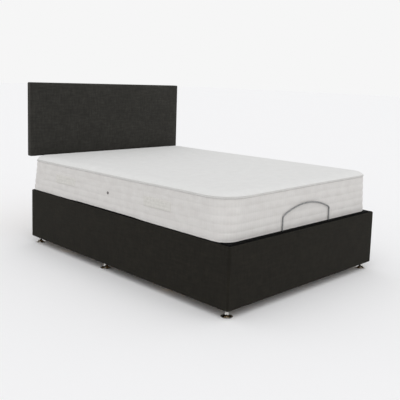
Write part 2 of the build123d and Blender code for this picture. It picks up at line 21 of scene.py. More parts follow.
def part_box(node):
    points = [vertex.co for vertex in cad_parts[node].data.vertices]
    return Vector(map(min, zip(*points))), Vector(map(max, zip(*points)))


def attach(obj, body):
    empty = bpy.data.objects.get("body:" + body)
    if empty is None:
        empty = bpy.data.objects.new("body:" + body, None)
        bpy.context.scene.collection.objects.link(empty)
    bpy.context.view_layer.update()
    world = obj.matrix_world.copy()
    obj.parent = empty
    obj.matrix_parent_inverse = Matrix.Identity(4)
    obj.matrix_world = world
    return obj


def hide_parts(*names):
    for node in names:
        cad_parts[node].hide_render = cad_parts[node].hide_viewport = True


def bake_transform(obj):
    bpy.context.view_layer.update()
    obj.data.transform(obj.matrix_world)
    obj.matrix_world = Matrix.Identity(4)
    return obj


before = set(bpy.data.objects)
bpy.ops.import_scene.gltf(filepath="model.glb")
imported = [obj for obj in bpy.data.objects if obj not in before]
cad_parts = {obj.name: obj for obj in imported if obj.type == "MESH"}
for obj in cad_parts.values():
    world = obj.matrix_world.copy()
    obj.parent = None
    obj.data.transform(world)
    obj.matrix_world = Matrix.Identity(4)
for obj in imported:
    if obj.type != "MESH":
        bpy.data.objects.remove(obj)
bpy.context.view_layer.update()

MM = 0.001
LOG = logging.getLogger("adjustable_bed")

BAND_SCALE = 0.159  # a wave texture's scale where each band, light or dark, is a metre wide

Colour = tuple[float, float, float, float]
Node = bpy.types.Node
Piece = bpy.types.Object
Socket = bpy.types.NodeSocket
Tree = bpy.types.NodeTree


class Body(Enum):
    """The moving bodies that the looks ride on."""

    BASE = "root"
    BACK = "back_section"
    THIGH = "thigh_section"
    CALF = "calf_section"


class Slot(Enum):
    """The record's finish slots that the looks use."""

    UPHOLSTERY = "upholstery"
    GLIDE_CHROME = "glide_chrome"
    BAR_STEEL = "bar_steel"
    BLACK_PLASTIC = "black_plastic"
    TICKING = "mattress_ticking"


class Region(Enum):
    """The three cloths of the mattress, in the order of its material slots."""

    BORDER = 0
    TAPE = 1
    PANEL = 2


class WrapRegion(Enum):
    """The two cloths of the surround, in the order of its material slots; the rim's near-black felt also
    paints the shadow in the gap under the mattress.
    """

    FACE = 0
    RIM = 1


def linear(hex_code: str) -> Colour:
    """Turns an sRGB hex colour to a linear one.

    Args:
        hex_code: Six hex digits, with or without a leading hash.

    Returns:
        Red, green, blue and an alpha of one.
    """
    digits = hex_code.lstrip("#")
    shares = [int(digits[i:i + 2], 16) / 255 for i in (0, 2, 4)]
    red, green, blue = [c / 12.92 if c <= 0.04045 else ((c + 0.055) / 1.055) ** 2.4 for c in shares]
    return red, green, blue, 1.0


def smooth(low: float, high: float, value: float) -> float:
    """Rises smoothly from 0 at low to 1 at high.

    Args:
        low: Where the rise starts.
        high: Where the rise ends.
        value: The place asked about.

    Returns:
        A share from 0 to 1.
    """
    share = min(1.0, max(0.0, (value - low) / (high - low)))
    return share * share * (3 - 2 * share)


def add_node(tree: Tree, kind: str, inputs: dict | None = None, **settings: object) -> Node:
    """Adds one shader node with its settings, values and links.

    Args:
        tree: The node tree to add to.
        kind: The node's type name, without its leading ShaderNode.
        inputs: Socket names or numbers, each with a value or with the socket that feeds it.
        **settings: Properties of the node itself.

    Returns:
        The new node.
    """
    node = tree.nodes.new("ShaderNode" + kind)
    for name, value in settings.items():
        setattr(node, name, value)
    for socket, value in (inputs or {}).items():
        if isinstance(value, Socket):
            tree.links.new(value, node.inputs[socket])
        else:
            node.inputs[socket].default_value = value
    return node


# ---- finishes ---------------------------------------------------------------
@dataclass(frozen=True)
class Finish:
    """What every finish shares: its name, its main colour and how it shines."""

    name: str
    colour: str
    roughness: float = 0.6
    metallic: float = 0.0

    def material(self) -> bpy.types.Material:
        """Makes the material: its shader, and then its own patterns.

        Returns:
            The new material.
        """
        material = bpy.data.materials.new(self.name)
        material.use_nodes = True
        tree = material.node_tree
        tree.nodes.clear()
        shader = add_node(tree, "BsdfPrincipled", {
            "Base Color": linear(self.colour), "Roughness": self.roughness, "Metallic": self.metallic})
        add_node(tree, "OutputMaterial", {"Surface": shader.outputs[0]})
        self.dress(shader)
        return material

    def dress(self, shader: Node) -> None:
        """Adds the finish's patterns to its shader. A plain finish has none."""

    @staticmethod
    def bump(shader: Node, height: Socket, depth: float) -> None:
        """Gives the shader a bump.

        Args:
            shader: The material's shader.
            height: The socket that holds the height, from 0 to 1.
            depth: The height of a full step, in metres.
        """
        tree = shader.id_data
        node = add_node(tree, "Bump", {"Height": height, "Distance": depth, "Strength": 1.0})
        tree.links.new(node.outputs[0], shader.inputs["Normal"])

    @staticmethod
    def tone(shader: Node, pattern: Socket, *stops: tuple[float, str]) -> None:
        """Colours the shader by a pattern.

        Args:
            shader: The material's shader.
            pattern: The socket that holds the pattern, from 0 to 1.
            *stops: Values of the pattern, each with its hex colour.
        """
        ramp = add_node(shader.id_data, "ValToRGB", {0: pattern})
        marks = ramp.color_ramp.elements
        first, *middle, last = sorted(stops)
        for mark, (place, hex_code) in zip(marks, (first, last)):
            mark.position, mark.color = place, linear(hex_code)
        for place, hex_code in middle:
            marks.new(place).color = linear(hex_code)
        shader.id_data.links.new(ramp.outputs[0], shader.inputs["Base Color"])

    @staticmethod
    def weighted(tree: Tree, *parts: tuple[Socket, float]) -> Socket:
        """Adds several patterns, each with its own weight.

        Args:
            tree: The node tree.
            *parts: The sockets and their weights.

        Returns:
            The socket of the sum.
        """
        total: Socket | float = 0.0
        for socket, weight in parts:
            total = add_node(tree, "Math", {0: socket, 1: weight, 2: total},
                             operation="MULTIPLY_ADD").outputs[0]
        return total


@dataclass(frozen=True)
class ChenilleWeave(Finish):
    """Flat-woven chenille: a matt, slightly furry cloth with slubs both ways."""

    dark: str = "#1f1e1c"
    light: str = "#3a3935"
    thread: float = 1.59 * MM
    grain: float = 5 * MM  # 1.5 mm tufts, drawn coarser so that they show
    slub: float = 65 * MM
    slub_stretch: float = 5.0
    cloud: float = 110 * MM
    nap: float = 0.22
    relief: float = 0.9 * MM

    def dress(self, shader: Node) -> None:
        """Adds crossed threads, slubs that wander in tone, and a soft nap.

        Args:
            shader: The material's shader.
        """
        tree = shader.id_data
        where = add_node(tree, "TexCoord").outputs["Object"]
        split = add_node(tree, "SeparateXYZ", {0: where}).outputs
        along = add_node(tree, "Math", {0: split[0], 1: split[1]}, operation="ADD").outputs[0]
        flat = add_node(tree, "CombineXYZ", {0: along, 1: split[2]}).outputs[0]
        streaks, waves = [], []
        for way, stretch in (("X", (1.0, self.slub_stretch, 1.0)), ("Y", (self.slub_stretch, 1.0, 1.0))):
            drawn = add_node(tree, "Mapping", {0: flat, "Scale": stretch}).outputs[0]
            streaks.append(add_node(tree, "TexNoise", {
                "Vector": drawn, "Scale": 1 / self.slub, "Detail": 2.0, "Roughness": 0.55}).outputs[0])
            waves.append(add_node(tree, "TexWave", {
                "Vector": flat, "Scale": BAND_SCALE / self.thread, "Distortion": 1.2, "Detail Scale": 0.6},
                bands_direction=way).outputs[1])
        slubs = add_node(tree, "Math", dict(enumerate(streaks)), operation="ADD").outputs[0]
        threads = add_node(tree, "Math", dict(enumerate(waves)), operation="MULTIPLY").outputs[0]
        clouds = add_node(tree, "TexNoise", {
            "Vector": where, "Scale": 1 / self.cloud, "Detail": 3.0, "Roughness": 0.6}).outputs[0]
        grain = add_node(tree, "TexNoise", {
            "Vector": where, "Scale": 1 / self.grain, "Detail": 2.0}).outputs[0]
        tone = self.weighted(tree, (slubs, 0.36), (clouds, 0.22), (threads, 0.12), (grain, 0.22))
        self.tone(shader, tone, (0.34, self.dark), (0.58, self.colour), (0.82, self.light))
        shader.inputs["Sheen Weight"].default_value = self.nap
        shader.inputs["Sheen Roughness"].default_value = 0.55
        shader.inputs["Sheen Tint"].default_value = linear("#8d8a82")
        shader.inputs["Specular IOR Level"].default_value = 0.18
        self.bump(shader, self.weighted(tree, (threads, 0.45), (grain, 0.35), (slubs, 0.2)), self.relief)


@dataclass(frozen=True)
class Ticking(Finish):
    """Damask mattress cloth: pale, close and matt, with a faint woven rib."""

    shade: str = "#c9c7c2"
    rib: float = 9 * MM  # 3 mm ribs, drawn coarser so that they show
    rib_depth: float = 0.3 * MM
    rib_tone: float = 0.25
    mottle: float = 60 * MM
    fine: float = 6 * MM
    around: bool = True

    def dress(self, shader: Node) -> None:
        """Adds the ribs, upright where the cloth runs round the border, and a fine mottle.

        Args:
            shader: The material's shader.
        """
        tree = shader.id_data
        place = add_node(tree, "Attribute", attribute_name="rest_place").outputs["Vector"]
        across, along, up = add_node(tree, "SeparateXYZ", {0: place}).outputs
        if self.around:
            across = add_node(tree, "Attribute", attribute_name="round_run").outputs["Fac"]
            along = up
        flat = add_node(tree, "CombineXYZ", {0: across, 1: along}).outputs[0]
        ribs = add_node(tree, "TexWave", {
            "Vector": flat, "Scale": BAND_SCALE / self.rib, "Distortion": 0.8,
            "Detail Scale": 0.4}, bands_direction="X").outputs[1]
        mottle = add_node(tree, "TexNoise", {
            "Vector": flat, "Scale": 1 / self.mottle, "Detail": 4.0, "Roughness": 0.6}).outputs[0]
        fine = add_node(tree, "TexNoise", {
            "Vector": flat, "Scale": 1 / self.fine, "Detail": 2.0}).outputs[0]
        self.tone(shader, self.weighted(tree, (mottle, 1.0), (ribs, self.rib_tone)),
                  (0.3, self.shade), (0.75, self.colour))
        shader.inputs["Sheen Weight"].default_value = 0.08
        shader.inputs["Specular IOR Level"].default_value = 0.2
        self.bump(shader, self.weighted(tree, (fine, 1.0), (ribs, 0.7)), self.rib_depth)


@dataclass(frozen=True)
class StrapCloth(Finish):
    """Doubled ticking sewn flat: close and pale, with a fine cross rib."""

    shade: str = "#c8c6c1"
    rib: float = 5 * MM  # 1.5 mm ribs, drawn coarser so that they show
    rib_depth: float = 0.3 * MM
    rib_tone: float = 0.2
    mottle: float = 14 * MM

    def dress(self, shader: Node) -> None:
        """Adds cross ribs and a faint mottle.

        Args:
            shader: The material's shader.
        """
        tree = shader.id_data
        place = add_node(tree, "Attribute", attribute_name="rest_place").outputs["Vector"]
        ribs = add_node(tree, "TexWave", {"Vector": place, "Scale": BAND_SCALE / self.rib},
                        bands_direction="Y").outputs[1]
        mottle = add_node(tree, "TexNoise", {
            "Vector": place, "Scale": 1 / self.mottle, "Detail": 3.0}).outputs[0]
        self.tone(shader, self.weighted(tree, (mottle, 1.0), (ribs, self.rib_tone)),
                  (0.3, self.shade), (0.75, self.colour))
        shader.inputs["Specular IOR Level"].default_value = 0.2
        self.bump(shader, ribs, self.rib_depth)


@dataclass(frozen=True)
class SawnWood(Finish):
    """Planed softwood: long grain, with darker late wood."""

    late: str = "#a9783f"
    ring: float = 9 * MM
    ring_stretch: float = 20.0
    relief: float = 0.25 * MM

    def dress(self, shader: Node) -> None:
        """Adds rings drawn out across the bed, and a satin face.

        Args:
            shader: The material's shader.
        """
        tree = shader.id_data
        where = add_node(tree, "TexCoord").outputs["Object"]
        drawn = add_node(tree, "Mapping", {
            0: where, "Scale": (1 / self.ring_stretch, 1.0, 1.0)}).outputs[0]
        grain = add_node(tree, "TexNoise", {
            "Vector": drawn, "Scale": 1 / self.ring, "Detail": 5.0, "Roughness": 0.6,
            "Distortion": 0.6}).outputs[0]
        self.tone(shader, grain, (0.35, self.late), (0.62, self.colour))
        self.bump(shader, grain, self.relief)

    @staticmethod
    def overlay(shader: Node, share: Socket, over: Socket | Colour) -> None:
        """Lays another colour over the shader's own.

        Args:
            shader: The material's shader, whose colour is linked.
            share: The socket that holds how much of the other colour shows.
            over: The other colour.
        """
        own = shader.inputs["Base Color"].links[0].from_socket
        mixed = add_node(shader.id_data, "Mix", {0: share, 6: own, 7: over}, data_type="RGBA")
        shader.id_data.links.new(mixed.outputs[2], shader.inputs["Base Color"])

    @staticmethod
    def upward(tree: Tree) -> Socket:
        """Finds how much the face looks up: 1 straight up, -1 straight down."""
        normal = add_node(tree, "NewGeometry").outputs["Normal"]
        return add_node(tree, "SeparateXYZ", {0: normal}).outputs[2]


@dataclass(frozen=True)
class LaminatedPly(SawnWood):
    """Birch plywood: a quiet face grain, and dark glue lines on the sawn edges."""

    glue: str = "#7b5a34"
    veneer: float = 1.7 * MM

    def dress(self, shader: Node) -> None:
        """Adds face grain everywhere, and glue lines where the face looks sideways.

        Args:
            shader: The material's shader.
        """
        super().dress(shader)
        tree = shader.id_data
        where = add_node(tree, "TexCoord").outputs["Object"]
        lines = add_node(tree, "TexWave", {
            "Vector": where, "Scale": BAND_SCALE / self.veneer}, bands_direction="Z").outputs[1]
        level = add_node(tree, "Math", {0: self.upward(tree)}, operation="ABSOLUTE").outputs[0]
        edge = add_node(tree, "Math", {0: level, 1: 0.5}, operation="LESS_THAN").outputs[0]
        dark = add_node(tree, "Math", {0: lines, 1: 0.35}, operation="LESS_THAN").outputs[0]
        share = add_node(tree, "Math", {0: edge, 1: dark}, operation="MULTIPLY").outputs[0]
        self.overlay(shader, share, linear(self.glue))


@dataclass(frozen=True)
class NeedleFelt(Finish):
    """Needle-punched felt: matt, with loose fibres lying all ways."""

    fibre_tone: str = "#2b2b2a"
    fibre: float = 4 * MM  # loose fibres about 1 mm apart, drawn coarser so that they show

    def dress(self, shader: Node) -> None:
        """Adds the fibres.

        Args:
            shader: The material's shader.
        """
        tree = shader.id_data
        where = add_node(tree, "TexCoord").outputs["Object"]
        fibres = add_node(tree, "TexNoise", {
            "Vector": where, "Scale": 1 / self.fibre, "Detail": 4.0, "Roughness": 0.7}).outputs[0]
        self.tone(shader, fibres, (0.35, self.colour), (0.8, self.fibre_tone))
        shader.inputs["Specular IOR Level"].default_value = 0.03


@dataclass(frozen=True)
class FeltedPly(LaminatedPly):
    """Plywood whose top and edges are covered with black needle felt, stapled under; the felt is made
    near-black so that it also paints the shadow in the gap under the mattress.
    """

    # near-black felt: black felt that also paints the shadow in the gap under the mattress
    felt: NeedleFelt = NeedleFelt("deck_felt_and_painted_shade", "#0b0b0b", fibre_tone="#1a1a19")

    def dress(self, shader: Node) -> None:
        """Adds bare ply where the board looks down, and felt elsewhere.

        Args:
            shader: The material's shader.
        """
        super().dress(shader)
        tree = shader.id_data
        bare = shader.inputs["Base Color"].links[0].from_socket
        self.felt.dress(shader)
        down = add_node(tree, "Math", {0: self.upward(tree), 1: -0.5},
                        operation="LESS_THAN").outputs[0]
        self.overlay(shader, down, bare)
        shader.inputs["Specular IOR Level"].default_value = 0.05


@dataclass(frozen=True)
class Clouded(Finish):
    """A hard finish with slow clouds in its tone and shine, over a fine grain."""

    shade: str = "#101011"
    cloud: float = 35 * MM
    cloud_detail: float = 3.0
    shade_at: float = 0.35
    colour_at: float = 0.65
    duller: float = 0.0
    brighter: float = 0.0
    grain: float = 1.2 * MM
    grain_kind: str = "TexNoise"
    grain_detail: float = 2.0
    grain_depth: float = 0.05 * MM

    def dress(self, shader: Node) -> None:
        """Adds the clouds and the grain.

        Args:
            shader: The material's shader.
        """
        tree = shader.id_data
        where = add_node(tree, "TexCoord").outputs["Object"]
        clouds = add_node(tree, "TexNoise", {
            "Vector": where, "Scale": 1 / self.cloud, "Detail": self.cloud_detail}).outputs[0]
        self.tone(shader, clouds, (self.shade_at, self.shade), (self.colour_at, self.colour))
        if self.duller:
            shine = add_node(tree, "MapRange", {
                0: clouds, 3: max(0.05, self.roughness - self.brighter),
                4: self.roughness + self.duller}).outputs[0]
            tree.links.new(shine, shader.inputs["Roughness"])
        grain = add_node(tree, self.grain_kind, {
            "Vector": where, "Scale": 1 / self.grain, "Detail": self.grain_detail}).outputs[0]
        self.bump(shader, grain, self.grain_depth)


@dataclass(frozen=True)
class PowderCoat(Clouded):
    """Powder-coated steel: an even colour with a fine orange peel and rubbed patches."""

    shade: str = "#3a3b3d"
    cloud: float = 90 * MM
    cloud_detail: float = 4.0
    shade_at: float = 0.75
    colour_at: float = 0.4
    duller: float = 0.1
    brighter: float = 0.08
    grain: float = 1.6 * MM
    grain_detail: float = 1.0
    grain_depth: float = 0.08 * MM


@dataclass(frozen=True)
class PlatedSteel(Clouded):
    """Plated or drawn steel: cloudy plating over a faint grain."""

    shade: str = "#8f9296"
    cloud: float = 12 * MM
    cloud_detail: float = 5.0
    shade_at: float = 0.3
    colour_at: float = 0.7
    duller: float = 0.08
    brighter: float = 0.06
    grain: float = 3 * MM
    grain_depth: float = 0.03 * MM


@dataclass(frozen=True)
class MouldedPlastic(Clouded):
    """Injection-moulded plastic: a fine spark-eroded grain and a soft shine."""

    grain_kind: str = "TexVoronoi"
    grain_detail: float = 0.0


# ---- shared modelling -------------------------------------------------------
def clear_selection() -> None:
    """Deselects everything and leaves nothing active."""
    bpy.ops.object.select_all(action="DESELECT")
    bpy.context.view_layer.objects.active = None


def make_active(piece: Piece) -> None:
    """Selects one piece alone and makes it active.

    Args:
        piece: The piece to select.
    """
    clear_selection()
    piece.select_set(True)
    bpy.context.view_layer.objects.active = piece


def link_object(name: str, data: bpy.types.ID) -> Piece:
    """Makes an object of a mesh, a camera or a light, and puts it in the scene.

    Args:
        name: The object's name.
        data: What it shows.

    Returns:
        The new object, at the origin.
    """
    piece = bpy.data.objects.new(name, data)
    bpy.context.scene.collection.objects.link(piece)
    return piece


def mesh_piece(name: str, points: np.ndarray, faces: Sequence[Sequence[int]]) -> Piece:
    """Makes an object from points and faces.

    Args:
        name: The piece's name.
        points: The points, in metres, in the frame's axes.
        faces: The point numbers of each face.

    Returns:
        The new object, at the origin, shaded smooth.
    """
    mesh = bpy.data.meshes.new(name)
    mesh.from_pydata([tuple(p) for p in points], [], [tuple(f) for f in faces])
    mesh.update()
    mesh.polygons.foreach_set("use_smooth", [True] * len(mesh.polygons))
    return link_object(name, mesh)


def face_outwards(piece: Piece) -> None:
    """Merges doubles and turns every face to look outwards.

    Args:
        piece: The piece to change.
    """
    shell = bmesh.new()
    shell.from_mesh(piece.data)
    bmesh.ops.remove_doubles(shell, verts=shell.verts, dist=1e-6)
    bmesh.ops.recalc_face_normals(shell, faces=shell.faces)
    shell.to_mesh(piece.data)
    shell.free()


@dataclass(frozen=True)
class Outline:
    """A rectangle in plan whose corners are rounded, each by its own radius."""

    half_x: float
    half_y: float
    centre_y: float
    foot_left: float
    foot_right: float
    head: float
    growth: tuple[float, float, float] = (0.0, 0.0, 0.0)

    def place(self, u: np.ndarray, v: np.ndarray, offset: float, tighten: float,
              spread: float = 0.0) -> np.ndarray:
        """Places points that are given as shares of the half width and half length.

        Args:
            u: Shares across, from -1 to 1.
            v: Shares along, from -1 to 1.
            offset: How far the edge stands out from the outline.
            tighten: How much smaller than the outline's own the corner radii are.
            spread: The share of its growth that each corner radius has here.

        Returns:
            The points' x and y.
        """
        half = np.array([self.half_x + offset, self.half_y + offset])
        flat = np.stack([u, v], axis=1) * half
        foot_left, foot_right, head = (
            radius + spread * more
            for radius, more in zip((self.foot_left, self.foot_right, self.head), self.growth))
        own = np.where(v > 0, head, np.where(u < 0, foot_left, foot_right))
        radius = np.maximum(own - tighten, 2 * MM)[:, None]
        share = (np.abs(flat) - (half - radius)) / radius
        corner = (share > 0).all(axis=1)
        p, q = share[:, 0], share[:, 1]
        round_p = p * np.sqrt(np.maximum(0, 1 - q * q / 2))
        round_q = q * np.sqrt(np.maximum(0, 1 - p * p / 2))
        rounded = np.sign(flat) * (half - radius + np.stack([round_p, round_q], axis=1) * radius)
        placed = np.where(corner[:, None], rounded, flat)
        placed[:, 1] += self.centre_y
        return placed


@dataclass(frozen=True)
class Level:
    """One ring of a skin: how far it stands out, how its corners tighten, and its height."""

    offset: float
    tighten: float
    height: Callable[[float, float], float]
    region: Enum = Region.BORDER
    spread: float = 0.0


def graded(half: float, fine: float, coarse: float, growth: float = 1.25) -> np.ndarray:
    """Divides a length into shares from -1 to 1 that lie close together near the ends.

    Args:
        half: Half the length that the shares divide.
        fine: The first step at each end.
        coarse: The largest step in the middle.
        growth: How much each step is longer than the last.

    Returns:
        The shares, in rising order.
    """
    step, at, ends = fine, 0.0, []
    while at + step < half and step < coarse:
        at += step
        ends.append(at)
        step = min(coarse, step * growth)
    middle = np.linspace(at - half, half - at, max(2, round(2 * (half - at) / coarse)) + 1)
    low = [-half] + [e - half for e in ends[:-1]]
    return np.array(low + list(middle) + [-x for x in reversed(low)]) / half


@dataclass
class RingSkin:
    """A skin swept through levels round an outline, closed by a grid at each end."""

    outline: Outline
    across: np.ndarray
    along: np.ndarray
    levels: list[Level]

    def ring(self) -> list[tuple[int, int]]:
        """Lists the grid places round the edge, from the middle of the head.

        Returns:
            The places, anticlockwise from above.
        """
        nx, ny = len(self.across), len(self.along)
        start = nx // 2
        head = [(i, ny - 1) for i in range(start, 0, -1)]
        left = [(0, j) for j in range(ny - 1, 0, -1)]
        foot = [(i, 0) for i in range(nx - 1)]
        right = [(nx - 1, j) for j in range(ny - 1)]
        rest = [(i, ny - 1) for i in range(nx - 1, start, -1)]
        return head + left + foot + right + rest

    def build(self, name: str, top: Level | None, bottom: Level | None,
              joined: bool = False) -> Piece:
        """Builds the skin.

        Args:
            name: The piece's name.
            top: The grid that closes the last level, or None.
            bottom: The grid that closes the first level, or None.
            joined: Whether the last level is joined to the first instead.

        Returns:
            The piece, with its rest place and its run round the outline as attributes.
        """
        ring = self.ring()
        count = len(ring)
        points = [self.at_level(ring, level) for level in self.levels]
        faces: list[tuple[int, ...]] = []
        regions: list[int] = []
        spans = range(len(self.levels) if joined else len(self.levels) - 1)
        for k in spans:
            low, high = k * count, ((k + 1) % len(self.levels)) * count
            for n in range(count):
                m = (n + 1) % count
                faces.append((low + n, low + m, high + m, high + n))
                regions.append(self.levels[k].region.value)
        edge = self.at_level(ring, Level(0.0, 0.0, lambda x, y: 0.0))
        steps = np.linalg.norm(np.diff(np.vstack([edge, edge[:1]]), axis=0), axis=1)
        run = np.concatenate([[0.0], np.cumsum(steps)[:-1]])
        runs = [np.tile(run, len(self.levels))]
        total = count * len(self.levels)
        for grid, level_at, flip in ((bottom, 0, True), (top, len(self.levels) - 1, False)):
            if grid is None:
                continue
            inner_points, grid_faces = self.grid(grid, ring, level_at * count, total, flip)
            points.append(inner_points)
            faces += grid_faces
            regions += [grid.region.value] * len(grid_faces)
            runs.append(inner_points[:, 0])
            total += len(inner_points)
        placed = np.vstack(points)
        piece = mesh_piece(name, placed, faces)
        piece.data.polygons.foreach_set("material_index", regions)
        self.write_attributes(piece, placed, np.concatenate(runs))
        return piece

    def grid(self, level: Level, ring: list[tuple[int, int]], first: int, total: int,
             flip: bool) -> tuple[np.ndarray, list[tuple[int, ...]]]:
        """Fills the grid inside one end ring.

        Args:
            level: The grid's offset, tightening and height.
            ring: The grid places of the ring.
            first: The number of the ring's first point.
            total: The number of the next new point.
            flip: Whether the grid looks down.

        Returns:
            The grid's inner points and its faces.
        """
        nx, ny = len(self.across), len(self.along)
        number = {place: first + n for n, place in enumerate(ring)}
        inner = [(i, j) for j in range(1, ny - 1) for i in range(1, nx - 1)]
        number.update({place: total + n for n, place in enumerate(inner)})
        faces = []
        for j in range(ny - 1):
            for i in range(nx - 1):
                corners = [number[i, j], number[i + 1, j], number[i + 1, j + 1], number[i, j + 1]]
                faces.append(tuple(reversed(corners)) if flip else tuple(corners))
        return self.at_level(inner, level), faces

    def at_level(self, places: list[tuple[int, int]], level: Level) -> np.ndarray:
        """Finds where grid places come to lie at a level.

        Args:
            places: The places, by their numbers across and along.
            level: The level.

        Returns:
            The points.
        """
        u, v = np.array([(self.across[i], self.along[j]) for i, j in places]).T
        flat = self.outline.place(u, v, level.offset, level.tighten, level.spread)
        return np.column_stack([flat, [level.height(x, y) for x, y in flat]])

    @staticmethod
    def write_attributes(piece: Piece, placed: np.ndarray, runs: np.ndarray) -> None:
        """Keeps each point's rest place and its run round the outline, for the materials.

        Args:
            piece: The piece to write to.
            placed: The points' places at rest.
            runs: How far round the outline each point is.
        """
        rest = piece.data.attributes.new("rest_place", "FLOAT_VECTOR", "POINT")
        rest.data.foreach_set("vector", placed.astype(np.float32).ravel())
        run = piece.data.attributes.new("round_run", "FLOAT", "POINT")
        run.data.foreach_set("value", runs.astype(np.float32))


def report(piece: Piece) -> None:
    """Logs a piece's name and size."""
    LOG.info("%s: %d faces", piece.name, len(piece.data.polygons))


def finish_piece(piece: Piece, body: Body, slot: Slot, *nodes: str) -> None:
    """Lets a piece ride on a body and hides the nodes that it stands for.

    Args:
        piece: The piece.
        body: The body that it rides on.
        slot: Its finish slot; not used.
        *nodes: The frame's nodes that it stands for.
    """
    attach(piece, body.value)
    if nodes:
        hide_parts(*nodes)
    report(piece)


# ---- the surround's cloth ---------------------------------------------------
@dataclass
class DivanWrap:
    """The cloth drawn round the base panels and folded over their top and bottom edges."""

    finish: Finish
    # the rim's finish: black felt, made near-black so that it also paints the shadow in the gap under the
    # mattress
    rim: Finish
    thickness: float = 2.4 * MM
    rim_radius: float = 7.0 * MM
    corner_radius: float = 13.0 * MM
    fold: float = 20.0 * MM
    ripple: float = 0.9 * MM
    levels_up: int = 26
    steps: tuple[float, float, float] = (1.5 * MM, 22 * MM, 1.4)

    def build(self) -> None:
        """Builds the wrap as one closed band round the base."""
        low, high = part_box("upholstery_cover")
        outline = Outline(high.x, (high.y - low.y) / 2, (high.y + low.y) / 2, *[self.corner_radius] * 3)
        skin = RingSkin(outline, graded(outline.half_x, *self.steps), graded(outline.half_y, *self.steps),
                        self.levels(low.z, high.z))
        wrap = skin.build("divan_fabric_wrap", None, None, joined=True)
        self.settle(wrap, outline, low.z, high.z)
        face_outwards(wrap)
        for finish in (self.finish, self.rim):
            wrap.data.materials.append(finish.material())
        finish_piece(wrap, Body.BASE, Slot.UPHOLSTERY, "upholstery_cover")

    def levels(self, bottom: float, top: float) -> list[Level]:
        """Lists the band's section, from the inner edge of the bottom fold round to it again.

        Args:
            bottom: The lowest height of the cloth.
            top: The highest height of the cloth.

        Returns:
            The levels, outer face first and then the inner face back down.
        """
        r, t = self.rim_radius, self.thickness
        section = [(-self.fold, bottom)]
        turn = [math.radians(a) for a in (0, 18, 36, 54, 72, 90)]
        section += [(-r + r * math.sin(a), bottom + r - r * math.cos(a)) for a in turn]
        heights = np.linspace(bottom + r, top - r, self.levels_up)[1:-1]
        section += [(0.0, z) for z in heights]
        section += [(-r + r * math.cos(a), top - r + r * math.sin(a)) for a in turn]
        rim_from = len(section) - 2
        section += [(-self.fold, top), (-self.fold, top - t)]
        rim_to = len(section) - 1
        section += [(-t, top - t)] + [(-t, z) for z in reversed(heights)] + [(-t, bottom + t)]
        section += [(-self.fold, bottom + t)]
        return [Level(offset, -offset, lambda x, y, z=z: z,
                      WrapRegion.RIM if rim_from <= n < rim_to else WrapRegion.FACE)
                for n, (offset, z) in enumerate(section)]

    def settle(self, wrap: Piece, outline: Outline, bottom: float, top: float) -> None:
        """Lets the outer face ease in and out a little between its edges, as drawn cloth does.

        Args:
            wrap: The wrap.
            outline: Its outline in plan.
            bottom: The lowest height of the cloth.
            top: The highest height of the cloth.
        """
        middle = (top + bottom) / 2
        for vertex in wrap.data.vertices:
            place = vertex.co
            free = 1 - smooth(0.6, 1.0, abs(place.z - middle) / (middle - bottom))
            swell = noise.noise(Vector((place.x * 3.1, place.y * 3.1, place.z * 6.0)))
            push = self.ripple * free * (0.5 * swell - 0.5)
            along = place.y - outline.centre_y
            if outline.half_x - abs(place.x) < outline.half_y - abs(along):
                place.x += math.copysign(push, place.x)
            else:
                place.y += math.copysign(push, along)


# ---- the glides -------------------------------------------------------------
@dataclass
class GlideSet:
    """Six chrome glides: a wide disc that flares up into a slim stem under a collar.

    The profile is in millimetres, outward and up.
    """

    finish: Finish
    foot_radius: float = 32.5 * MM
    segments: int = 48
    profile: tuple[tuple[float, float], ...] = (
        (0.0, 0.0), (26.0, 0.0), (30.5, 0.6), (32.3, 2.0), (32.3, 3.2), (31.2, 4.6), (27.0, 6.1),
        (21.5, 8.6), (16.8, 12.0), (13.0, 16.2), (10.6, 21.0), (9.7, 26.5), (9.5, 33.0), (9.9, 36.2),
        (11.6, 38.6), (14.6, 40.3), (15.9, 41.6), (16.0, 44.8), (0.0, 44.8))

    def build(self) -> None:
        """Turns one glide and sets a copy at each of the frame's six places."""
        material = self.finish.material()
        pattern = self.turn()
        for number, (x, y) in enumerate(self.centres(), start=1):
            glide = link_object(f"chrome_glide_{number}", pattern.data.copy())
            for vertex in glide.data.vertices:
                vertex.co.x += x
                vertex.co.y += y
            glide.data.materials.append(material)
            finish_piece(glide, Body.BASE, Slot.GLIDE_CHROME, "glide_feet")
        bpy.data.objects.remove(pattern)

    def turn(self) -> Piece:
        """Spins the profile into a closed turned shape.

        Returns:
            The shape, at the origin.
        """
        clear_selection()
        bpy.ops.mesh.primitive_plane_add(size=0.01, location=(0, 0, 0))
        pattern = bpy.context.active_object
        outline = bmesh.new()
        points = [outline.verts.new((r * MM, 0, z * MM)) for r, z in self.profile]
        for a, b in zip(points, points[1:]):
            outline.edges.new((a, b))
        outline.to_mesh(pattern.data)
        outline.free()
        bpy.ops.object.mode_set(mode="EDIT")
        bpy.ops.mesh.select_all(action="SELECT")
        bpy.ops.mesh.spin(steps=self.segments, angle=math.tau, center=(0, 0, 0), axis=(0, 0, 1))
        bpy.ops.mesh.select_all(action="SELECT")
        bpy.ops.mesh.remove_doubles(threshold=1e-5)
        bpy.ops.mesh.normals_make_consistent(inside=False)
        bpy.ops.object.mode_set(mode="OBJECT")
        make_active(pattern)
        bpy.ops.object.shade_smooth_by_angle(angle=math.radians(40))
        return pattern

    def centres(self) -> list[tuple[float, float]]:
        """Finds the six places in plan, from the frame's own glides.

        Returns:
            Each glide's middle, x and y.
        """
        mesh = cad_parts["glide_feet"].data
        low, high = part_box("glide_feet")
        radius = self.foot_radius
        ys = [v.co.y for v in mesh.vertices]
        middle = [y for y in ys if low.y + 3 * radius < y < high.y - 3 * radius]
        stations = (low.y + radius, (min(middle) + max(middle)) / 2, high.y - radius)
        return [(side * (high.x - radius), y) for side in (-1, 1) for y in stations]


